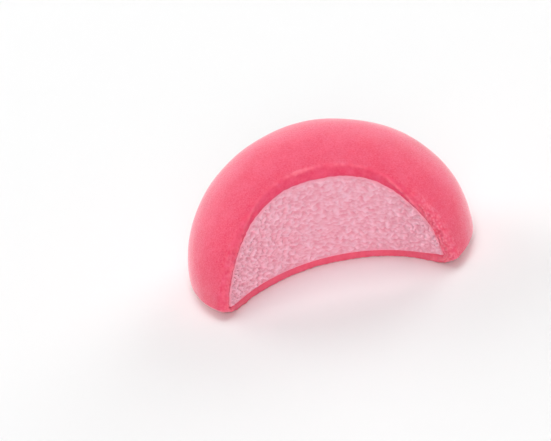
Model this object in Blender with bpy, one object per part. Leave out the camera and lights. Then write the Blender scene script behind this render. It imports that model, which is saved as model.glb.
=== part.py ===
"""A bitten mochi rice cake: a soft dough skin round a pale filling, with one deep bite taken out of it.

The cake stands on z = 0 with +Z up, and the bite faces -Y. The origin lies under the middle of the round
that the cake was before it was bitten. Lengths are in metres.
"""
import math

import bpy
import numpy as np

MM = 0.001

# The round, as it was shaped by hand
ROUND_RADIUS = 22.5 * MM        # mean radius, seen from above
ROUND_HEIGHT = 22.9 * MM
OVAL = 0.112                    # wider across than front to back, as a share of the radius
LOBES = 0.035                   # a faint three-sided unevenness, as a share of the radius
LOBE_TURN = math.radians(-27)
LEAN_RIGHT = 0.4 * MM           # how far the crown has slumped to the right and to the back
LEAN_BACK = 3.25 * MM
CROWN_POWER = 2.06              # 2 is a true ellipse, more is squarer in the shoulders
WIDEST_LEVEL = 2.4 * MM         # below this level the side tucks in to the foot
FOOT_SHARE = 0.873              # the foot's radius, as a share of the widest
TUCK_POWER = 1.4
HORN_TUCK = 0.036               # the foot tucks in this much further under the right-hand tip
HORN_TURN = math.radians(-24)   # where that is, and how far round it spreads
HORN_SPREAD = math.radians(30)

# The bite, a round hollow whose wall leans out over it
BITE_RADIUS = 23.6 * MM         # at the foot
BITE_DEEPEST_Y = -2.7 * MM      # where the hollow reaches farthest in, at the foot
BITE_LEAN = 0.153               # how far the wall comes forward for each metre of height
BITE_AXIS_Y = BITE_DEEPEST_Y - BITE_RADIUS

# The dough skin, out to the middle of the gap that keeps the filling clear of it
SKIN_SIDE = 2.3 * MM
SKIN_ROOF = 2.1 * MM
SKIN_FLOOR = 1.6 * MM
GAP = 0.3 * MM

# Roundings
LIP_ROUND = 0.5 * MM            # where the top skin turns in to the bite
FOOT_ROUND = 0.3 * MM
CORE_FOOT_ROUND = 0.5 * MM
CORE_LIP_ROUND = 0.25 * MM

# How finely the forms are sliced
DOUGH_SLICES, DOUGH_SKIN, DOUGH_WALL = 62, 40, 12
CORE_SLICES, CORE_SKIN, CORE_WALL = 42, 24, 8
RAYS = 1440                     # directions tried round each slice
TIP_CROWDING = 0.65             # 0 spaces the slices evenly, 1 crowds them at the tips
CORNER_SHARE = 1.5 * MM         # outline length that one radian of bend is worth
CUTTER_REACH = 5.0 * MM         # how far the cavity's cutter stands out of the bite

DOUGH_PINK = (0.93, 0.15, 0.22)
FILLING_PINK = (0.87, 0.36, 0.45)


def round_gap(x, y, z, side, roof):
    """How far a point lies outside the round, shrunk by side and roof; negative inside."""
    top = ROUND_HEIGHT - roof
    rise = (z - WIDEST_LEVEL) / (top - WIDEST_LEVEL)
    slump = np.clip(rise, 0, 1)
    x = x - LEAN_RIGHT * slump
    y = y - LEAN_BACK * slump
    angle = np.arctan2(y, x)
    swell = 1 + OVAL * np.cos(2 * angle) + LOBES * np.cos(3 * (angle - LOBE_TURN))
    reach = np.hypot(x, y) / (ROUND_RADIUS * swell - side)
    crown = (reach ** CROWN_POWER + np.maximum(rise, 0) ** CROWN_POWER) ** (1 / CROWN_POWER)
    drop = np.clip(1 - z / WIDEST_LEVEL, 0, 1)
    foot = FOOT_SHARE - HORN_TUCK * np.exp(-((angle - HORN_TURN) / HORN_SPREAD) ** 2)
    tuck = foot + (1 - foot) * (1 - drop ** TUCK_POWER) ** (1 / TUCK_POWER)
    return ROUND_RADIUS * (np.where(rise > 0, crown, reach / tuck) - 1)


def rounded_meet(first, second, radius):
    """The gap of what two forms share, with a rounded edge where they meet."""
    corner = np.hypot(np.maximum(first + radius, 0), np.maximum(second + radius, 0))
    return np.minimum(np.maximum(first, second), -radius) + corner


def form(side, roof, floor, forward, lip_round, floor_round):
    """The gap of the bitten round, shrunk by its side, roof and floor; forward moves its bitten face."""
    def gap(across, z, angle):
        x = across * np.sin(angle)
        y = BITE_AXIS_Y + across * np.cos(angle)
        bite = BITE_RADIUS - BITE_LEAN * z - forward - across
        open_form = rounded_meet(round_gap(x, y, z, side, roof), bite, lip_round)
        return rounded_meet(open_form, floor - z, floor_round)
    return gap


def deepest_point(gap, angle):
    """The point of one upright slice that lies farthest inside the form, and its gap."""
    across, z = BITE_RADIUS + ROUND_RADIUS / 2, ROUND_HEIGHT / 2
    reach = ROUND_RADIUS
    for _ in range(24):
        grid_across, grid_z = np.meshgrid(across + reach * np.linspace(-1, 1, 17),
                                          z + reach * np.linspace(-1, 1, 17))
        gaps = gap(np.maximum(grid_across, MM), grid_z, angle)
        best = np.unravel_index(gaps.argmin(), gaps.shape)
        across, z = grid_across[best], grid_z[best]
        reach *= 0.55
    return across, z, gaps[best]


def tip_angle(gap, side_sign):
    """The slice angle at which the form runs out, on one side of the bite."""
    inside, outside = 0.0, math.pi / 2
    for _ in range(30):
        middle = (inside + outside) / 2
        if deepest_point(gap, side_sign * middle)[2] < 0:
            inside = middle
        else:
            outside = middle
    return side_sign * inside


def spaced(outline, count):
    """Points along an open outline, which crowd where it bends; its last point is left out."""
    step = np.diff(outline, axis=0)
    bearing = np.unwrap(np.arctan2(step[:, 1], step[:, 0]))
    bend = np.abs(np.diff(bearing, prepend=bearing[0]))
    worth = np.cumsum(np.hypot(step[:, 0], step[:, 1]) + CORNER_SHARE * bend)
    worth = np.concatenate([[0], worth])
    wanted = np.linspace(0, worth[-1], count, endpoint=False)
    return np.stack([np.interp(wanted, worth, outline[:, i]) for i in (0, 1)], axis=1)


def slice_ring(gap, angle, skin_count, wall_count):
    """The outline of one slice: from the bite's foot round the outside to its lip, and down its wall."""
    across, z, _ = deepest_point(gap, angle)
    heading = np.linspace(0, 2 * np.pi, RAYS, endpoint=False)
    near, far = np.zeros(RAYS), np.full(RAYS, 3 * ROUND_RADIUS)
    for _ in range(44):
        middle = (near + far) / 2
        inside = gap(across + middle * np.cos(heading), z + middle * np.sin(heading), angle) < 0
        near, far = np.where(inside, middle, near), np.where(inside, far, middle)
    outline = np.stack([across + near * np.cos(heading), z + near * np.sin(heading)], axis=1)
    outline = np.roll(outline, -outline.sum(axis=1).argmin(), axis=0)
    outline = np.vstack([outline, outline[:1]])
    lip = (outline[:, 1] - outline[:, 0]).argmax()
    return np.vstack([spaced(outline[:lip + 1], skin_count), spaced(outline[lip:], wall_count)])


def point_at(across, z, angle, floor):
    """The place of a slice's point, settled onto the floor where it all but lies on it."""
    settled = floor if abs(z - floor) < 0.001 * MM else z
    return (across * math.sin(angle), BITE_AXIS_Y + across * math.cos(angle), settled)


def sliced_solid(name, gap, floor, slices, skin_count, wall_count):
    """A closed mesh through the outlines of upright slices that fan round the bite's axis."""
    left, right = tip_angle(gap, -1), tip_angle(gap, 1)
    spread = np.linspace(-1, 1, slices + 2)[1:-1]
    spread = (1 - TIP_CROWDING) * spread + TIP_CROWDING * np.sin(spread * math.pi / 2)
    angles = (left + right) / 2 + (right - left) / 2 * spread
    ring_count = skin_count + wall_count
    points, faces = [], []
    for angle in angles:
        ring = slice_ring(gap, angle, skin_count, wall_count)
        points += [point_at(across, z, angle, floor) for across, z in ring]
    for low in range(0, (slices - 1) * ring_count, ring_count):
        for i in range(ring_count):
            j = (i + 1) % ring_count
            faces.append((low + i, low + j, low + ring_count + j, low + ring_count + i))
    for angle, low, order in ((left, 0, -1), (right, (slices - 1) * ring_count, 1)):
        tip = len(points)
        points.append(point_at(*deepest_point(gap, angle)[:2], angle, floor))
        for i in range(ring_count):
            edge = (low + i, low + (i + 1) % ring_count)
            faces.append((*edge[::order], tip))
    mesh = bpy.data.meshes.new(name)
    mesh.from_pydata(points, [], faces)
    mesh.shade_smooth()
    mesh.set_sharp_from_angle(angle=math.radians(40))
    return bpy.data.objects.new(name, mesh)


def finish(name, color, roughness):
    """A plain material in the piece's colour."""
    material = bpy.data.materials.new(name)
    material.use_nodes = True
    shader = material.node_tree.nodes["Principled BSDF"]
    shader.inputs["Base Color"].default_value = (*color, 1)
    shader.inputs["Roughness"].default_value = roughness
    shader.inputs["Metallic"].default_value = 0
    return material


def new_collection(name):
    collection = bpy.data.collections.new(name)
    bpy.context.scene.collection.children.link(collection)
    return collection


def make_core(name, allowance, forward):
    """The core of the cake, a little larger or smaller than the skin's inside."""
    floor = SKIN_FLOOR + allowance
    gap = form(SKIN_SIDE + allowance, SKIN_ROOF + allowance, floor, forward, CORE_LIP_ROUND, CORE_FOOT_ROUND)
    return sliced_solid(name, gap, floor, CORE_SLICES, CORE_SKIN, CORE_WALL)


def make_cavity_cutter(cutters):
    """The hollow in the dough, carried out through the bitten face."""
    cutter = make_core("cavity_cutter", -GAP / 2, CUTTER_REACH)
    cutter.hide_render = True
    cutter.display_type = "WIRE"
    cutters.objects.link(cutter)
    return cutter


def make_dough(cake, cutter):
    """The skin, whole under the filling and open at the bite."""
    gap = form(0, 0, 0, 0, LIP_ROUND, FOOT_ROUND)
    dough = sliced_solid("dough", gap, 0, DOUGH_SLICES, DOUGH_SKIN, DOUGH_WALL)
    dough.data.materials.append(finish("dough", DOUGH_PINK, 0.6))
    hollow = dough.modifiers.new("hollow", "BOOLEAN")
    hollow.operation = "DIFFERENCE"
    hollow.solver = "EXACT"
    hollow.object = cutter
    cake.objects.link(dough)


def make_filling(cake):
    """The filling, which runs through the cake and shows at the bite."""
    filling = make_core("filling", GAP / 2, 0)
    filling.data.materials.append(finish("filling", FILLING_PINK, 0.8))
    cake.objects.link(filling)


def main():
    for leftover in list(bpy.data.objects):
        bpy.data.objects.remove(leftover, do_unlink=True)
    cake = new_collection("mochi_rice_cake")
    cutters = new_collection("cutters")
    make_dough(cake, make_cavity_cutter(cutters))
    make_filling(cake)


main()
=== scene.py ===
"""The looks of a bitten mochi rice cake: velvety dough skin, dough torn by the bite, and pitted filling.

Lengths are in metres. The dough and the filling are sliced upright round the bite's axis, as a fan, and each
slice's outline is joined to the next. A slice angle is in radians, 0 at the back and positive to the right.
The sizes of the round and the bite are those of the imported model.
"""
import math

import bmesh
import bpy
import numpy as np
from mathutils import Matrix, Vector, noise


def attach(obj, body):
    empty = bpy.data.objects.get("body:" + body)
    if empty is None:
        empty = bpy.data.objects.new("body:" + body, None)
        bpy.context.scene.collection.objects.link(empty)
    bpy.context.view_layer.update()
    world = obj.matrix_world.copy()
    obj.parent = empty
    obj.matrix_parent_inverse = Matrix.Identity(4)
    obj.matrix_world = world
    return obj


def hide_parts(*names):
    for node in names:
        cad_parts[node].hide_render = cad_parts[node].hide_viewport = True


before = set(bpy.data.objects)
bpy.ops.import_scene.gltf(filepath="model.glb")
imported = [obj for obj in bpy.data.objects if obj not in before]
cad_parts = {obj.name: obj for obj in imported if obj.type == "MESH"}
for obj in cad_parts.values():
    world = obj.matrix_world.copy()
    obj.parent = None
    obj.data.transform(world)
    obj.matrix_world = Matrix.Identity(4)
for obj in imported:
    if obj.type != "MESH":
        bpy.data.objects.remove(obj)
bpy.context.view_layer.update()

MM = 0.001

# The round, as it was shaped by hand
ROUND_RADIUS = 22.5 * MM
ROUND_HEIGHT = 22.9 * MM
OVAL = 0.112                    # how much wider it is from side to side, as a share of the radius
LOBES = 0.035                   # and how much it bulges in three places
LOBE_TURN = math.radians(-27)
LEAN_RIGHT = 0.4 * MM           # how far the crown has slumped
LEAN_BACK = 3.25 * MM
CROWN_POWER = 2.06              # 2 is an ellipse, more is squarer
WIDEST_LEVEL = 2.4 * MM
FOOT_SHARE = 0.873              # the foot's radius, as a share of the widest
TUCK_POWER = 1.4
TIP_TUCK = 0.036                # it is tucked in this much further under the right-hand tip
TIP_TUCK_TURN = math.radians(-24)
TIP_TUCK_SPREAD = math.radians(30)

# The bite
BITE_RADIUS = 23.6 * MM
BITE_DEEPEST_Y = -2.7 * MM
BITE_LEAN = 0.153
BITE_AXIS_Y = BITE_DEEPEST_Y - BITE_RADIUS

# The dough skin, out to the filling
SKIN_SIDE = 2.3 * MM
SKIN_ROOF = 2.1 * MM
SKIN_FLOOR = 1.5 * MM
# Where its sides and roof are thicker or thinner: (slice angle, spread of angle, added thickness)
THICK_PLACES = (
    (-0.92, 0.05, -0.45 * MM),
    (-0.60, 0.08, -0.15 * MM),
    (0.02, 0.22, 0.38 * MM),
    (0.30, 0.07, 0.10 * MM),
    (0.66, 0.08, 0.17 * MM),
    (0.82, 0.04, -0.12 * MM),
    (0.91, 0.035, 1.05 * MM),
)
FLOOR_PLACES = (                # and where its floor is thicker
    (-0.93, 0.06, 0.35 * MM),
    (0.91, 0.15, 0.65 * MM),
)
# A finer unevenness along it: (depth, phase gained per radian, phase gained per metre of height)
RIPPLES = ((0.03 * MM, 31, 700), (0.03 * MM, 83, 2900))
SNUG = 0.03 * MM                # how far the filling presses into the dough

# Roundings
LIP_ROUND = 0.5 * MM
LEFT_TIP_ROUND = 1.3 * MM       # added to the lip at the left-hand tip
LEFT_TIP_TURN = (0.5, 0.95)     # over these slice angles to the left
RIGHT_TIP_ROUND = 0.8 * MM      # and at the right-hand one
RIGHT_TIP_TURN = (0.6, 0.9)
FOOT_ROUND = 0.3 * MM
FILLING_RIM = 0.3 * MM
FILLING_FOOT_ROUND = 0.2 * MM

# Slicing: the number of slices, and of points along each slice's skin and wall
DOUGH_SLICES, DOUGH_SKIN, DOUGH_WALL = 440, 150, 70
FILLING_SLICES, FILLING_SKIN, FILLING_WALL = 500, 26, 170
CUTTER_SLICES, CUTTER_SKIN, CUTTER_WALL = 240, 40, 8
# How much the points crowd at the skin's foot and lip, and at the wall's lip and foot
EVEN = (0, 0, 0, 0)
DOUGH_CROWD = (0, 4, 4, 2)
CROWD_REACH = 2.5 * MM          # they crowd within about this far of a crowded end
CORNER_SHARE = 1.5 * MM         # a bend of one radian draws as many points as this length does
TIP_CROWDING = 0.65             # how much the slices crowd towards the tips
RAYS = 1440                     # cast from a slice's deepest point to its outline
RAY_HALVINGS = 32
FEWEST = 8                      # rays between the foot and the lip of the thinnest slice
TIP_HALVINGS = 30
SEARCH_ROUNDS, SEARCH_SIDE, SEARCH_SHRINK = 24, 17, 0.55    # closing in on a slice's deepest point
CUTTER_REACH = 5.0 * MM         # how far the hollow's cutter runs out through the bite

# Relief of the dough; each layer of unevenness is (depth, size)
KNEAD = ((0.10 * MM, 7.0 * MM), (0.03 * MM, 2.4 * MM), (0.012 * MM, 1.2 * MM))
TEAR_DEPTH = 0.08 * MM
TEAR_LAYERS = ((1.0, 0.8 * MM, 5), (0.5, 0.4 * MM, 6))      # (share, size, seed)
TEAR_REACH = 0.6 * MM           # how far the tearing runs in from the bite's edge
FLOOR_EDGE = (SKIN_FLOOR, 1.3 * SKIN_FLOOR)     # heights over which the strip under the filling ends
BEAD_HEIGHT = 0.20 * MM         # the lip, pressed up by the bite
BEAD_WIDTH = 0.36 * MM
BEAD_STRETCH = 4 * MM           # how long its stronger and weaker stretches are
BEAD_LEVEL = 0.75               # its strength on average
BEAD_SEED = 7
BEAD_ROUGHNESS = 0.7            # how much of the tearing's grain it takes
TIP_BEAD = 0.75 * MM            # near the tips it runs this far from the filling
TIP_BEAD_TURN = (0.45, 0.85)    # and turns to it over these slice angles
SEAM_DEPTH = 0.18 * MM          # the furrow in the dough along the filling
SEAM_WIDTH = 0.35 * MM
CRUMB_DEPTH = 0.34 * MM         # lumps of dough dragged over the edge at the tips
CRUMB_LAYERS = ((0.8, 0.44 * MM), (0.4, 0.88 * MM))         # (share, size)
CRUMB_MIDDLE = 0.5              # lumps higher than this stand out, and lower ones sink in
CRUMB_REACH = 1.35 * MM         # how far they run in from the bite's edge
CRUMB_RIGHT = (0.66, 0.90)      # they set in over these slice angles at the right-hand tip
CRUMB_LEFT = (0.6, 0.9)         # and over these at the left-hand one
CRUMB_LEFT_SHARE = 0.4
CRUMB_LIFT = (0.1 * MM, 0.8 * MM)       # over this height above the foot
CRUMB_INSET = (0.1 * MM, 0.7 * MM)      # and over this distance from the filling
CRUMB_CALM = 0.6                # how much shallower they are on the lip
GRANULE_EDGE = (0.1, 0.75)      # from a lump's flat top to the gap between lumps, as shares of its size
ON_FOOT = 0.01 * MM             # points lower than this belong to the flat foot

# Relief of the filling
PITS = ((0.46 * MM, 0.50 * MM), (0.33 * MM, 0.31 * MM), (0.13 * MM, 0.19 * MM))     # (depth, size)
PIT_SEED = 11
PIT_EASE = 0.3                  # pits are this much shallower than the lumps are high
PIT_STRETCH = 1.65              # pits run longer across than up
PIT_WANDER = 0.55               # how far their rows wander, as a share of their size
WANDER_SEED = 14
PIT_SHADE_FULL = 0.8                  # a pit has its full painted shade at this share of the greatest depth
RIM_WIDTH = 0.25 * MM           # the filling stays smooth this close to the dough
RIM_EASE = (RIM_WIDTH / 2, RIM_WIDTH * 1.6)     # and its pits set in over this distance
RIM_FADE = RIM_WIDTH * 2.4      # its deeper colour along the dough fades out over this one

SEED_SHIFT = np.array([17.3, -9.1, 5.7])        # from one seed's part of the noise to the next's

# Colours and finishes; a pair of colours is for the darker and the lighter patches
SKIN_PINKS = (0.87, 0.060, 0.137), (0.93, 0.130, 0.226)
TORN_PINKS = (0.86, 0.055, 0.14), (0.92, 0.10, 0.205)
# painted highlight along the lip's ridge; the strip under the filling also takes this paler pink
LIP_HIGHLIGHT_AND_STRIP_PINK = (1.0, 0.19, 0.275)
# paler torn dough at the tips, with a painted highlight on the crumbs' tops
CRUMB_PALE_AND_HIGHLIGHT_PINK = (1.0, 0.25, 0.34)
FILLING_PINKS = (1.0, 0.56, 0.67), (1.0, 0.62, 0.73)
# painted shade in the filling's pits
PIT_SHADE_PINK = (0.86, 0.335, 0.435)
RIM_PINK = (0.97, 0.40, 0.51)
STARCH_TINT = (1.0, 0.80, 0.83)
BLACK, WHITE = (0, 0, 0, 1), (1, 1, 1, 1)
FLOOR_GREY = (0.9, 0.9, 0.9, 1)
LIP_HIGHLIGHT, LIP_HIGHLIGHT_GRAIN = 0.8, 0.8      # how strong the painted highlight along the lip's ridge is, and how much that varies with the tearing
LIP_HIGHLIGHT_UNDER_CRUMBS = 0.7          # how much of the lip's painted highlight the crumbs cover
UNDER_PALENESS = 0.5            # how pale the strip under the filling is
CRUMB_PALENESS_AND_HIGHLIGHT = (0.1, 1.1)     # paler dough between the crumbs, and a painted highlight added at their tops
DOUGH_SCATTER = dict(radius=(1.0, 0.4, 0.3), scale=0.6 * MM)
FILLING_SCATTER = dict(radius=(1.0, 0.6, 0.6), scale=0.1 * MM)
SHEEN_ROUGHNESS = 0.36
SPECULAR_LEVEL = 0.3
MOTTLE_SPAN = (0.38, 0.62)      # the part of the noise's range that the patches use

# Camera and light
CAMERA_AZIMUTH = math.radians(-2.2)
CAMERA_HEIGHT = math.radians(28.7)
CAMERA_ROLL = math.radians(11.8)
CAMERA_DISTANCE = 212.5 * MM
CAMERA_LENS = 79.0
CAMERA_CLIP = 0.01
AIM_POINT = Vector((0, 3.61 * MM, 10.24 * MM))
AIM_RIGHT = math.radians(1.988)     # the aim point stands this far right of the view's middle
AIM_UP = math.radians(1.148)        # and this far above it
WORLD_STRENGTH = 0.03
FLOOR_HALF = 4.0
FLOOR_DROP = 0.02 * MM          # the floor lies this far under the foot
BACKDROP_RADIUS = 1.5
BACKDROP_SIDES = 96
BACKDROP_GLOW = 0.97
LIGHT_SIZE = 1.4
LIGHT_DISTANCE = 2.2
LIGHTS = (                      # name, azimuth and height in degrees, power in watts
    ("key", -3, 30, 27.0),
    ("overhead", 0, 90, 25.5),
    ("rim_left", 225, 20, 24.0),
    ("rim_right", 135, 23, 22.0),
    ("back", 180, 15, 7.0),
)


# ---------------------------------------------------------------- form

def round_gap(x, y, z, side, roof):
    """How far a point lies outside the round, shrunk by side and roof; negative inside."""
    top = ROUND_HEIGHT - roof
    rise = (z - WIDEST_LEVEL) / (top - WIDEST_LEVEL)
    slump = np.clip(rise, 0, 1)
    x = x - LEAN_RIGHT * slump
    y = y - LEAN_BACK * slump
    angle = np.arctan2(y, x)
    swell = 1 + OVAL * np.cos(2 * angle) + LOBES * np.cos(3 * (angle - LOBE_TURN))
    reach = np.hypot(x, y) / (ROUND_RADIUS * swell - side)
    crown = (reach ** CROWN_POWER + np.maximum(rise, 0) ** CROWN_POWER) ** (1 / CROWN_POWER)
    drop = np.clip(1 - z / WIDEST_LEVEL, 0, 1)
    foot = FOOT_SHARE - TIP_TUCK * np.exp(-((angle - TIP_TUCK_TURN) / TIP_TUCK_SPREAD) ** 2)
    tuck = foot + (1 - foot) * (1 - drop ** TUCK_POWER) ** (1 / TUCK_POWER)
    return ROUND_RADIUS * (np.where(rise > 0, crown, reach / tuck) - 1)


def ramp(value, low, high):
    """0 below low, 1 above high, and a smooth rise between."""
    share = np.clip((value - low) / (high - low), 0, 1)
    return share * share * (3 - 2 * share)


def bite_depth(across, z):
    """How far a point lies behind the bite's wall."""
    return across - BITE_RADIUS + BITE_LEAN * z


def rounded_meet(first, second, radius):
    """The gap of what two forms share, with a rounded edge where they meet."""
    corner = np.hypot(np.maximum(first + radius, 0), np.maximum(second + radius, 0))
    return np.minimum(np.maximum(first, second), -radius) + corner


def lip_round(angle):
    """The radius of the lip, softer at the tips."""
    left = LEFT_TIP_ROUND * ramp(-angle, *LEFT_TIP_TURN)
    return LIP_ROUND + left + RIGHT_TIP_ROUND * ramp(angle, *RIGHT_TIP_TURN)


def dough_gap(across, z, angle):
    """How far a point lies outside the bitten cake; across is its distance from the bite's axis."""
    outside = round_gap(across * np.sin(angle), BITE_AXIS_Y + across * np.cos(angle), z, 0, 0)
    open_form = rounded_meet(outside, -bite_depth(across, z), lip_round(angle))
    return rounded_meet(open_form, -z, FOOT_ROUND)


def thicker(angle, spots):
    """The thickness that the spots add to the skin at a slice angle."""
    return sum(depth * np.exp(-((angle - place) / spread) ** 2) for place, spread, depth in spots)


def core_side(across, z, angle):
    """How far a point lies outside the filling's sides and roof."""
    wander = thicker(angle, THICK_PLACES)
    wander += sum(depth * np.sin(angle * waves + z * climb) for depth, waves, climb in RIPPLES)
    return wander + round_gap(across * np.sin(angle), BITE_AXIS_Y + across * np.cos(angle), z,
                              SKIN_SIDE, SKIN_ROOF)


def floor_top(angle):
    """The height at which the skin's floor ends and the filling starts."""
    return SKIN_FLOOR + thicker(angle, FLOOR_PLACES)


def core_gap(allowance, forward):
    """The gap of the filling, made larger by allowance and carried forward through its bitten face."""
    def gap(across, z, angle):
        bite = -bite_depth(across, z) - forward
        open_form = rounded_meet(core_side(across, z, angle) - allowance, bite, FILLING_RIM)
        return rounded_meet(open_form, floor_top(angle) - allowance - z, FILLING_FOOT_ROUND)
    return gap


def deepest_point(gap, angle):
    """The point of one upright slice that lies farthest inside the form, and its gap."""
    across, z = BITE_RADIUS + ROUND_RADIUS / 2, ROUND_HEIGHT / 2
    reach = ROUND_RADIUS
    for _ in range(SEARCH_ROUNDS):
        grid_across, grid_z = np.meshgrid(across + reach * np.linspace(-1, 1, SEARCH_SIDE),
                                          z + reach * np.linspace(-1, 1, SEARCH_SIDE))
        gaps = gap(np.maximum(grid_across, MM), grid_z, angle)
        best = np.unravel_index(gaps.argmin(), gaps.shape)
        across, z = grid_across[best], grid_z[best]
        reach *= SEARCH_SHRINK
    return across, z, gaps[best]


def tip_angle(gap, side_sign):
    """The slice angle at which the form runs out, on one side of the bite."""
    inside, outside = 0.0, math.pi / 2
    for _ in range(TIP_HALVINGS):
        middle = (inside + outside) / 2
        if deepest_point(gap, side_sign * middle)[2] < 0:
            inside = middle
        else:
            outside = middle
    return side_sign * inside


def spaced(outline, count, crowd):
    """Points along an open outline, without its last one, which crowd at its bends and its ends."""
    step = np.diff(outline, axis=0)
    bearing = np.unwrap(np.arctan2(step[:, 1], step[:, 0]))
    bend = np.abs(np.diff(bearing, prepend=bearing[0]))
    length = np.hypot(step[:, 0], step[:, 1])
    run = np.cumsum(length)
    near_ends = (crowd[0] * np.exp(-run / CROWD_REACH)
                 + crowd[1] * np.exp((run - run[-1]) / CROWD_REACH))
    worth = np.cumsum(length * (1 + near_ends) + CORNER_SHARE * bend)
    worth = np.concatenate([[0], worth])
    wanted = np.linspace(0, worth[-1], count, endpoint=False)
    return np.stack([np.interp(wanted, worth, outline[:, i]) for i in (0, 1)], axis=1)


def slice_ring(gap, angle, skin_count, wall_count, crowd):
    """A slice's outline, from the bite's foot round the outside to its lip, and down its wall."""
    across, z, _ = deepest_point(gap, angle)
    heading = np.linspace(0, 2 * np.pi, RAYS, endpoint=False)
    near, far = np.zeros(RAYS), np.full(RAYS, 3 * ROUND_RADIUS)
    for _ in range(RAY_HALVINGS):
        middle = (near + far) / 2
        inside = gap(across + middle * np.cos(heading), z + middle * np.sin(heading), angle) < 0
        near, far = np.where(inside, middle, near), np.where(inside, far, middle)
    outline = np.stack([across + near * np.cos(heading), z + near * np.sin(heading)], axis=1)
    outline = np.roll(outline, -outline.sum(axis=1).argmin(), axis=0)
    outline = np.vstack([outline, outline[:1]])
    lip = np.clip((outline[:, 1] - outline[:, 0]).argmax(), FEWEST, RAYS - FEWEST)
    return np.vstack([spaced(outline[:lip + 1], skin_count, crowd[:2]),
                      spaced(outline[lip:], wall_count, crowd[2:])])


def sliced_mesh(name, gap, slices, skin_count, wall_count, crowd=EVEN):
    """A closed mesh of upright slices; the faces of its bitten wall take the second material."""
    left, right = tip_angle(gap, -1), tip_angle(gap, 1)
    spread = np.linspace(-1, 1, slices + 2)[1:-1]
    spread = (1 - TIP_CROWDING) * spread + TIP_CROWDING * np.sin(spread * math.pi / 2)
    angles = (left + right) / 2 + (right - left) / 2 * spread
    ring_count = skin_count + wall_count
    rings = [slice_ring(gap, angle, skin_count, wall_count, crowd) for angle in angles]
    rings += [np.array([deepest_point(gap, angle)[:2]]) for angle in (left, right)]
    turns = np.concatenate([np.repeat(angles, ring_count), [left, right]])
    across, z = np.vstack(rings).T
    points = np.stack([across * np.sin(turns), BITE_AXIS_Y + across * np.cos(turns), z], axis=1)
    faces, kinds = [], []
    for low in range(0, (slices - 1) * ring_count, ring_count):
        for i in range(ring_count):
            j = (i + 1) % ring_count
            faces.append((low + i, low + j, low + ring_count + j, low + ring_count + i))
            kinds.append(int(i >= skin_count))
    last = slices * ring_count
    for tip, low, order in ((last, 0, -1), (last + 1, last - ring_count, 1)):
        for i in range(ring_count):
            edge = (low + i, low + (i + 1) % ring_count)
            faces.append((*edge[::order], tip))
            kinds.append(int(i >= skin_count))
    mesh = bpy.data.meshes.new(name)
    mesh.from_pydata(points, [], faces)
    mesh.polygons.foreach_set("material_index", kinds)
    mesh.shade_smooth()
    return mesh


# ---------------------------------------------------------------- relief

def read_points(mesh):
    """A mesh's points and their normals, as arrays."""
    points = np.empty(3 * len(mesh.vertices))
    normals = np.empty_like(points)
    mesh.vertices.foreach_get("co", points)
    mesh.vertex_normals.foreach_get("vector", normals)
    return points.reshape(-1, 3), normals.reshape(-1, 3)


def lumps(points, size, seed):
    """Smooth noise from -1 to 1, with lumps about this size."""
    return np.array([noise.noise(Vector(p)) for p in points / size + seed * SEED_SHIFT])


def granules(points, size):
    """Rounded lumps of about this size, from 0 between them to 1 at their tops."""
    nearest = np.array([noise.voronoi(Vector(p))[0][0] for p in points / size])
    return 1 - ramp(nearest, *GRANULE_EDGE)


def places(points):
    """How far points lie behind the bite's wall and outside the filling's outline, and their slice angles."""
    x, y, z = points.T
    across = np.hypot(x, y - BITE_AXIS_Y)
    angle = np.arctan2(x, y - BITE_AXIS_Y)
    margin = np.maximum(core_side(across, z, angle), floor_top(angle) - z)
    return bite_depth(across, z), margin, angle


def closeness(distance, reach):
    """1 at no distance, and a smooth fall to almost 0 at twice the reach."""
    return np.exp(-(distance / reach) ** 2)


def move_out(mesh, points, normals, height):
    """Moves the points along their normals, and keeps the cake's foot flat."""
    moved = points + normals * height[:, None]
    moved[:, 2] = np.maximum(moved[:, 2], 0)
    moved[points[:, 2] < ON_FOOT, 2] = 0
    mesh.vertices.foreach_set("co", moved.ravel())
    mesh.update()


def keep_values(mesh, name, values):
    """Stores one number for each point, for the material to read."""
    mesh.attributes.new(name, "FLOAT", "POINT").data.foreach_set("value", values)


def pressed_lip(points, past_lip, margin, angle):
    """How strongly the dough is pressed up: along the bite's edge, and beside the filling near the tips."""
    beside = past_lip + ramp(np.abs(angle), *TIP_BEAD_TURN) * (margin - TIP_BEAD - past_lip)
    return closeness(beside, BEAD_WIDTH) * (BEAD_LEVEL + lumps(points, BEAD_STRETCH, BEAD_SEED))


def crumb_cover(points, past_bite, margin, angle):
    """How much crumbs cover the dough at each point, where 1 is all of it."""
    at_tips = ramp(angle, *CRUMB_RIGHT) + CRUMB_LEFT_SHARE * ramp(-angle, *CRUMB_LEFT)
    raised = at_tips * ramp(points[:, 2], *CRUMB_LIFT)
    return raised * closeness(past_bite, CRUMB_REACH) * ramp(margin, *CRUMB_INSET)


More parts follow.
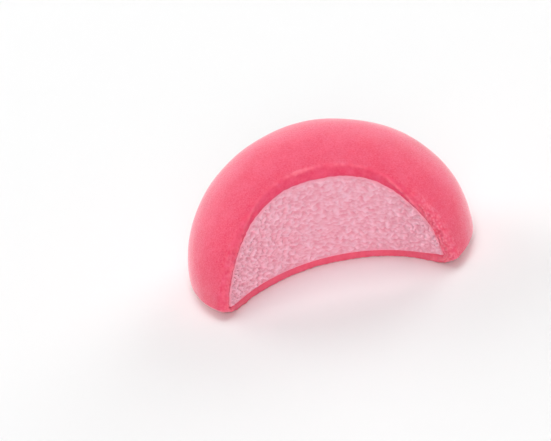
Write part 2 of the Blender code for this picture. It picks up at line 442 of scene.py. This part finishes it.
def relieve_dough(mesh):
    """Kneaded unevenness, a torn edge with a lip and crumbs, and a furrow along the filling.

    Keeps for each point the painted highlight of the lip's ridge and of the crumbs' tops, and the paleness of
    the strip under the filling and of the dough among the crumbs.
    """
    points, normals = read_points(mesh)
    behind, margin, angle = places(points)
    past_bite = np.maximum(behind, 0)
    past_lip = past_bite - np.maximum(-round_gap(*points.T, 0, 0), 0)
    torn = closeness(past_bite, TEAR_REACH)
    grain = sum(share * lumps(points, size, seed) for share, size, seed in TEAR_LAYERS)
    bead = pressed_lip(points, past_lip, margin, angle)
    cover = crumb_cover(points, past_bite, margin, angle)
    crumb = sum(share * granules(points, size) for share, size in CRUMB_LAYERS)
    height = sum(depth * lumps(points, size, seed) for seed, (depth, size) in enumerate(KNEAD))
    height += TEAR_DEPTH * torn * grain
    height += BEAD_HEIGHT * bead * (1 + BEAD_ROUGHNESS * grain)
    calm = 1 - CRUMB_CALM * closeness(past_lip, LIP_ROUND)
    height += CRUMB_DEPTH * cover * (crumb - CRUMB_MIDDLE) * calm
    height -= SEAM_DEPTH * closeness(margin, SEAM_WIDTH) * (behind < LIP_ROUND)
    under = torn * (1 - ramp(points[:, 2], *FLOOR_EDGE))
    painted_lip_highlight = bead * (LIP_HIGHLIGHT + LIP_HIGHLIGHT_GRAIN * grain) * (1 - LIP_HIGHLIGHT_UNDER_CRUMBS * cover)
    # the lip value: painted highlight along the lip's ridge, plus the paler strip under the filling
    keep_values(mesh, "lip", np.clip(painted_lip_highlight + UNDER_PALENESS * under, 0, 1))
    between, top_highlight = CRUMB_PALENESS_AND_HIGHLIGHT
    # paler among the crumbs, and a painted highlight on their tops
    keep_values(mesh, "crumb", np.clip(cover * (between + top_highlight * crumb), 0, 1))
    move_out(mesh, points, normals, height)


def relieve_filling(mesh):
    """Short wandering pits over the bitten face, with a smooth rim.

    Keeps how much painted shade each point gets from the pits, and how much of the rim's colour it has.
    """
    points, normals = read_points(mesh)
    behind, margin, _ = places(points)
    face = ramp(-behind, -FILLING_RIM, -FILLING_RIM / 2)
    inner = ramp(-margin, *RIM_EASE)
    deepest, widest = PITS[0]
    strayed = points / np.array([PIT_STRETCH, PIT_STRETCH, 1])
    strayed[:, 2] += PIT_WANDER * widest * lumps(points, 2 * widest, WANDER_SEED)
    height = sum(depth * lumps(strayed, size, PIT_SEED + layer) for layer, (depth, size) in enumerate(PITS))
    height *= face * inner
    height -= PIT_EASE * np.minimum(height, 0)
    # painted shade in the pits, fuller the deeper they are
    keep_values(mesh, "pit_shade", ramp(-height / deepest, -PIT_SHADE_FULL, PIT_SHADE_FULL))
    keep_values(mesh, "rim", 1 - ramp(-margin, 0, RIM_FADE))
    move_out(mesh, points, normals, height)


# ---------------------------------------------------------------- materials

def new_group(name, inputs, outputs):
    """A shader node group with named sockets, and its input and output nodes."""
    group = bpy.data.node_groups.new(name, "ShaderNodeTree")
    for label, kind, default in inputs:
        group.interface.new_socket(label, in_out="INPUT", socket_type=kind).default_value = default
    for label, kind in outputs:
        group.interface.new_socket(label, in_out="OUTPUT", socket_type=kind)
    return group, group.nodes.new("NodeGroupInput"), group.nodes.new("NodeGroupOutput")


def mottle_group():
    """Soft uneven patches with fine specks over them, as a mask."""
    group, inside, outside = new_group(
        "mottle",
        (("Patch Scale", "NodeSocketFloat", 300.0), ("Speck Scale", "NodeSocketFloat", 1800.0),
         ("Speck Share", "NodeSocketFloat", 0.5)),
        (("Mask", "NodeSocketFloat"),))
    place = group.nodes.new("ShaderNodeTexCoord")
    masks = []
    for label, detail in (("Patch Scale", 2.0), ("Speck Scale", 3.0)):
        texture = group.nodes.new("ShaderNodeTexNoise")
        texture.inputs["Detail"].default_value = detail
        group.links.new(place.outputs["Object"], texture.inputs["Vector"])
        group.links.new(inside.outputs[label], texture.inputs["Scale"])
        masks.append(texture.outputs["Fac"])
    mix = group.nodes.new("ShaderNodeMix")
    group.links.new(inside.outputs["Speck Share"], mix.inputs["Factor"])
    group.links.new(masks[0], mix.inputs["A"])
    group.links.new(masks[1], mix.inputs["B"])
    spread = group.nodes.new("ShaderNodeMapRange")
    spread.inputs["From Min"].default_value, spread.inputs["From Max"].default_value = MOTTLE_SPAN
    group.links.new(mix.outputs["Result"], spread.inputs["Value"])
    group.links.new(spread.outputs["Result"], outside.inputs["Mask"])
    return group


def place_group(tree, group, **values):
    """A group's node in a material, with its inputs set; _ stands for a space in an input's name."""
    node = tree.nodes.new("ShaderNodeGroup")
    node.node_tree = group
    for label, value in values.items():
        node.inputs[label.replace("_", " ")].default_value = value
    return node


def blend_colors(tree, factor, first, second):
    """A colour mix; each colour is a socket or three numbers."""
    mix = tree.nodes.new("ShaderNodeMix")
    mix.data_type = "RGBA"
    sockets = [s for s in mix.inputs if s.type == "RGBA"]
    tree.links.new(factor, mix.inputs["Factor"])
    for socket, value in zip(sockets, (first, second)):
        if isinstance(value, tuple):
            socket.default_value = (*value, 1)
        else:
            tree.links.new(value, socket)
    return next(s for s in mix.outputs if s.type == "RGBA")


def new_material(name, roughness, subsurface=0.0, radius=(1, 1, 1), scale=MM, sheen=0.0, tint=(1, 1, 1)):
    """A material with its Principled shader's plain values set."""
    material = bpy.data.materials.new(name)
    material.use_nodes = True
    shader = material.node_tree.nodes["Principled BSDF"]
    shader.inputs["Roughness"].default_value = roughness
    shader.inputs["Subsurface Weight"].default_value = subsurface
    shader.inputs["Subsurface Radius"].default_value = radius
    shader.inputs["Subsurface Scale"].default_value = scale
    shader.inputs["Sheen Weight"].default_value = sheen
    shader.inputs["Sheen Roughness"].default_value = SHEEN_ROUGHNESS
    shader.inputs["Sheen Tint"].default_value = (*tint, 1)
    shader.inputs["Specular IOR Level"].default_value = SPECULAR_LEVEL
    return material, material.node_tree, shader


def add_bump(tree, shader, height, strength, distance):
    """A bump of the shader's surface, by a mask."""
    bump = tree.nodes.new("ShaderNodeBump")
    bump.inputs["Strength"].default_value = strength
    bump.inputs["Distance"].default_value = distance
    tree.links.new(height, bump.inputs["Height"])
    tree.links.new(bump.outputs["Normal"], shader.inputs["Normal"])


def kept_value(tree, name):
    """The socket of a number kept on the mesh."""
    node = tree.nodes.new("ShaderNodeAttribute")
    node.attribute_name = name
    return node.outputs["Fac"]


def dough_color(tree, mottle_mask, pinks):
    """Mottled dough, with a painted highlight on its lip's ridge and its crumbs' tops, and paler under the
    filling and among the crumbs.
    """
    plain = blend_colors(tree, mottle_mask, *pinks)
    # painted highlight along the lip, and the paler strip under the filling
    lip_highlight_and_strip = blend_colors(tree, kept_value(tree, "lip"), plain, LIP_HIGHLIGHT_AND_STRIP_PINK)
    # paler dough among the crumbs, and a painted highlight on their tops
    return blend_colors(tree, kept_value(tree, "crumb"), lip_highlight_and_strip, CRUMB_PALE_AND_HIGHLIGHT_PINK)


def skin_material(mottle):
    """Soft rice dough under a trace of starch."""
    material, tree, shader = new_material(
        "dough_skin", roughness=0.6, subsurface=0.4, sheen=0.8, tint=STARCH_TINT, **DOUGH_SCATTER)
    patches = place_group(tree, mottle, Patch_Scale=250.0, Speck_Scale=4200.0, Speck_Share=0.75)
    mask = patches.outputs["Mask"]
    tree.links.new(dough_color(tree, mask, SKIN_PINKS), shader.inputs["Base Color"])
    add_bump(tree, shader, mask, strength=0.6, distance=0.04 * MM)
    return material


def torn_material(mottle):
    """The dough's moister inside, where the bite tore it."""
    material, tree, shader = new_material("dough_torn", roughness=0.5, subsurface=0.5, **DOUGH_SCATTER)
    patches = place_group(tree, mottle, Patch_Scale=700.0, Speck_Scale=2600.0, Speck_Share=0.4)
    mask = patches.outputs["Mask"]
    tree.links.new(dough_color(tree, mask, TORN_PINKS), shader.inputs["Base Color"])
    add_bump(tree, shader, mask, strength=0.5, distance=0.05 * MM)
    return material


def filling_material(mottle):
    """Pale, airy filling, with painted shade in its pits, and deeper in colour along the dough."""
    material, tree, shader = new_material("filling", roughness=0.7, subsurface=0.1, **FILLING_SCATTER)
    patches = place_group(tree, mottle, Patch_Scale=500.0, Speck_Scale=2400.0, Speck_Share=0.5)
    mask = patches.outputs["Mask"]
    pale = blend_colors(tree, mask, *FILLING_PINKS)
    # painted shade in the pits
    pit_shaded = blend_colors(tree, kept_value(tree, "pit_shade"), pale, PIT_SHADE_PINK)
    edged = blend_colors(tree, kept_value(tree, "rim"), pit_shaded, RIM_PINK)
    tree.links.new(edged, shader.inputs["Base Color"])
    add_bump(tree, shader, mask, strength=0.4, distance=0.04 * MM)
    return material


# ---------------------------------------------------------------- pieces

def add_object(name, mesh, *materials):
    """An object in the scene, made of this mesh and these materials."""
    piece = bpy.data.objects.new(name, mesh)
    for material in materials:
        mesh.materials.append(material)
    bpy.context.scene.collection.objects.link(piece)
    return piece


def make_dough(skin, torn):
    """The skin, hollowed for the filling."""
    mesh = sliced_mesh("dough_skin", dough_gap, DOUGH_SLICES, DOUGH_SKIN, DOUGH_WALL, DOUGH_CROWD)
    relieve_dough(mesh)
    piece = add_object("dough_skin", mesh, skin, torn)
    hollow = sliced_mesh("hollow", core_gap(0, CUTTER_REACH), CUTTER_SLICES, CUTTER_SKIN, CUTTER_WALL)
    cutter = add_object("hollow", hollow, skin, torn)
    hollow.polygons.foreach_set("material_index", [1] * len(hollow.polygons))
    cut = piece.modifiers.new("hollow", "BOOLEAN")
    cut.operation = "DIFFERENCE"
    cut.solver = "EXACT"
    cut.object = cutter
    bpy.context.view_layer.update()
    evaluated = piece.evaluated_get(bpy.context.evaluated_depsgraph_get())
    hollowed = bpy.data.meshes.new_from_object(evaluated)
    piece.modifiers.clear()
    piece.data = hollowed
    hollowed.name = "dough_skin"
    bpy.data.objects.remove(cutter)
    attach(piece, "root")
    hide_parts("dough")


def make_filling(material):
    """The filling, which fits the hollow and shows at the bite."""
    mesh = sliced_mesh("filling_core", core_gap(SNUG, 0), FILLING_SLICES, FILLING_SKIN, FILLING_WALL)
    mesh.polygons.foreach_set("material_index", [0] * len(mesh.polygons))
    relieve_filling(mesh)
    piece = add_object("filling_core", mesh, material)
    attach(piece, "root")
    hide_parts("filling")


# ---------------------------------------------------------------- studio

def add_floor():
    """A plain pale floor."""
    mesh = bpy.data.meshes.new("floor")
    corners = [(x * FLOOR_HALF, y * FLOOR_HALF, 0) for x, y in ((-1, -1), (1, -1), (1, 1), (-1, 1))]
    mesh.from_pydata(corners, [], [(0, 1, 2, 3)])
    material, tree, shader = new_material("floor", roughness=0.9)
    shader.inputs["Base Color"].default_value = FLOOR_GREY
    floor = add_object("floor", mesh, material)
    floor.location.z = -FLOOR_DROP


def add_backdrop():
    """A pale wall all round, which only the camera sees: it throws no light and no shadow."""
    mesh = bpy.data.meshes.new("backdrop")
    ring = bmesh.new()
    bmesh.ops.create_cone(ring, segments=BACKDROP_SIDES, radius1=BACKDROP_RADIUS,
                          radius2=BACKDROP_RADIUS, depth=2 * BACKDROP_RADIUS, cap_ends=False)
    ring.to_mesh(mesh)
    ring.free()
    material, tree, shader = new_material("backdrop", roughness=1.0)
    shader.inputs["Base Color"].default_value = BLACK
    shader.inputs["Emission Color"].default_value = WHITE
    shader.inputs["Emission Strength"].default_value = BACKDROP_GLOW
    wall = add_object("backdrop", mesh, material)
    wall.visible_diffuse = wall.visible_glossy = False
    wall.visible_transmission = wall.visible_shadow = False


def outward(azimuth, height):
    """The direction out from the aim point; azimuth 0 is to the front, a quarter turn to the right."""
    return Vector((math.sin(azimuth) * math.cos(height),
                   -math.cos(azimuth) * math.cos(height), math.sin(height)))


def add_light(name, azimuth, height, power):
    """A square soft light that faces the cake."""
    data = bpy.data.lights.new(name, "AREA")
    data.size = LIGHT_SIZE
    data.energy = power
    light = bpy.data.objects.new(name, data)
    light.location = AIM_POINT + LIGHT_DISTANCE * outward(math.radians(azimuth), math.radians(height))
    light.rotation_mode = "QUATERNION"
    light.rotation_quaternion = (AIM_POINT - light.location).to_track_quat("-Z", "Y")
    light.visible_camera = False
    bpy.context.scene.collection.objects.link(light)


def add_world():
    """A faint even light from all round."""
    world = bpy.data.worlds.new("studio")
    world.use_nodes = True
    sky = world.node_tree.nodes["Background"]
    sky.inputs["Color"].default_value = WHITE
    sky.inputs["Strength"].default_value = WORLD_STRENGTH
    bpy.context.scene.world = world


def add_camera():
    """Looks down at the bite, with the aim point a little off the view's middle."""
    data = bpy.data.cameras.new("camera")
    data.lens = CAMERA_LENS
    data.clip_start = CAMERA_CLIP
    camera = bpy.data.objects.new("camera", data)
    back = outward(CAMERA_AZIMUTH, CAMERA_HEIGHT)
    right = Vector((math.cos(CAMERA_AZIMUTH), math.sin(CAMERA_AZIMUTH), 0))
    level = Matrix((right, back.cross(right), back)).transposed()
    rolled = level @ Matrix.Rotation(-CAMERA_ROLL, 3, "Z")
    aside = Vector((math.tan(AIM_RIGHT), math.tan(AIM_UP), -1))
    pan = Vector((0, 0, -1)).rotation_difference(aside)
    camera.rotation_mode = "QUATERNION"
    camera.rotation_quaternion = rolled.to_quaternion() @ pan.inverted()
    camera.location = AIM_POINT + back * CAMERA_DISTANCE
    bpy.context.scene.collection.objects.link(camera)
    bpy.context.scene.camera = camera


def main():
    """Makes the two pieces, and the studio round them."""
    add_camera()
    mottle = mottle_group()
    make_dough(skin_material(mottle), torn_material(mottle))
    make_filling(filling_material(mottle))
    add_floor()
    add_backdrop()
    add_world()
    for light in LIGHTS:
        add_light(*light)
    bpy.context.scene.view_settings.view_transform = "Standard"


main()
